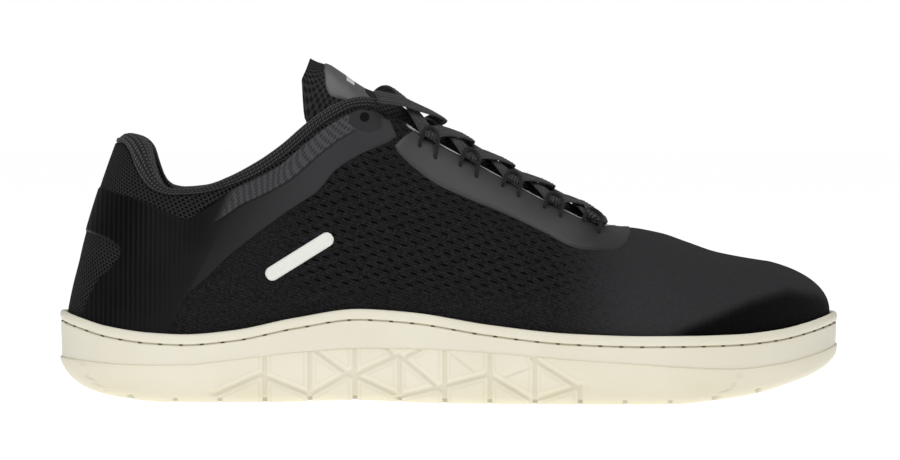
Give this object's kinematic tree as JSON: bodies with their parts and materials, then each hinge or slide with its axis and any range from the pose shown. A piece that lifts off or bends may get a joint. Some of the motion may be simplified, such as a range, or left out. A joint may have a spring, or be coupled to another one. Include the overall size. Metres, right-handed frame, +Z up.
{
  "type": "barefoot shoe",
  "caption": "Low lace-up barefoot shoe for the right foot: black knit upper with pressed films, padded collar, ghillie lacing and a flat flexible cream cup sole",
  "frame": {"origin": "centre of the bounding box at floor level", "axes": "+X from heel to toe, +Z up, the outer (lateral) side of this right shoe towards -Y"},
  "size_m": [0.286, 0.1041, 0.125],
  "materials": {
    "cream_rubber": "moulded cream rubber, satin",
    "cream_sidewall": "moulded cream rubber sidewall, satin",
    "insole_fabric": "brushed dark fabric",
    "black_knit": "fine black knit",
    "black_lining_knit": "soft black lining knit",
    "black_tongue_mesh": "coarse black mesh",
    "label_film": "grey film",
    "satin_film": "satin pressed film",
    "pale_print": "off-white print film",
    "black_cord": "thin round cord",
    "black_lace": "flat ribbed lace"
  },
  "bodies": {
    "root": {"outsole": "cream_rubber", "midsole": "cream_sidewall", "insole": "insole_fabric", "upper": "black_knit", "collar_lining": "black_lining_knit", "tongue": "black_tongue_mesh", "tongue_label": "label_film", "heel_film": "satin_film", "eyestay": "satin_film", "side_mark": "pale_print", "lace_loop_lateral_1": "black_cord", "lace_loop_lateral_2": "black_cord", "lace_loop_lateral_3": "black_cord", "lace_loop_lateral_4": "black_cord", "lace_loop_lateral_5": "black_cord", "lace_loop_medial_1": "black_cord", "lace_loop_medial_2": "black_cord", "lace_loop_medial_3": "black_cord", "lace_loop_medial_4": "black_cord", "lace_loop_medial_5": "black_cord", "lace": "black_lace"}
  },
  "joints": []
}
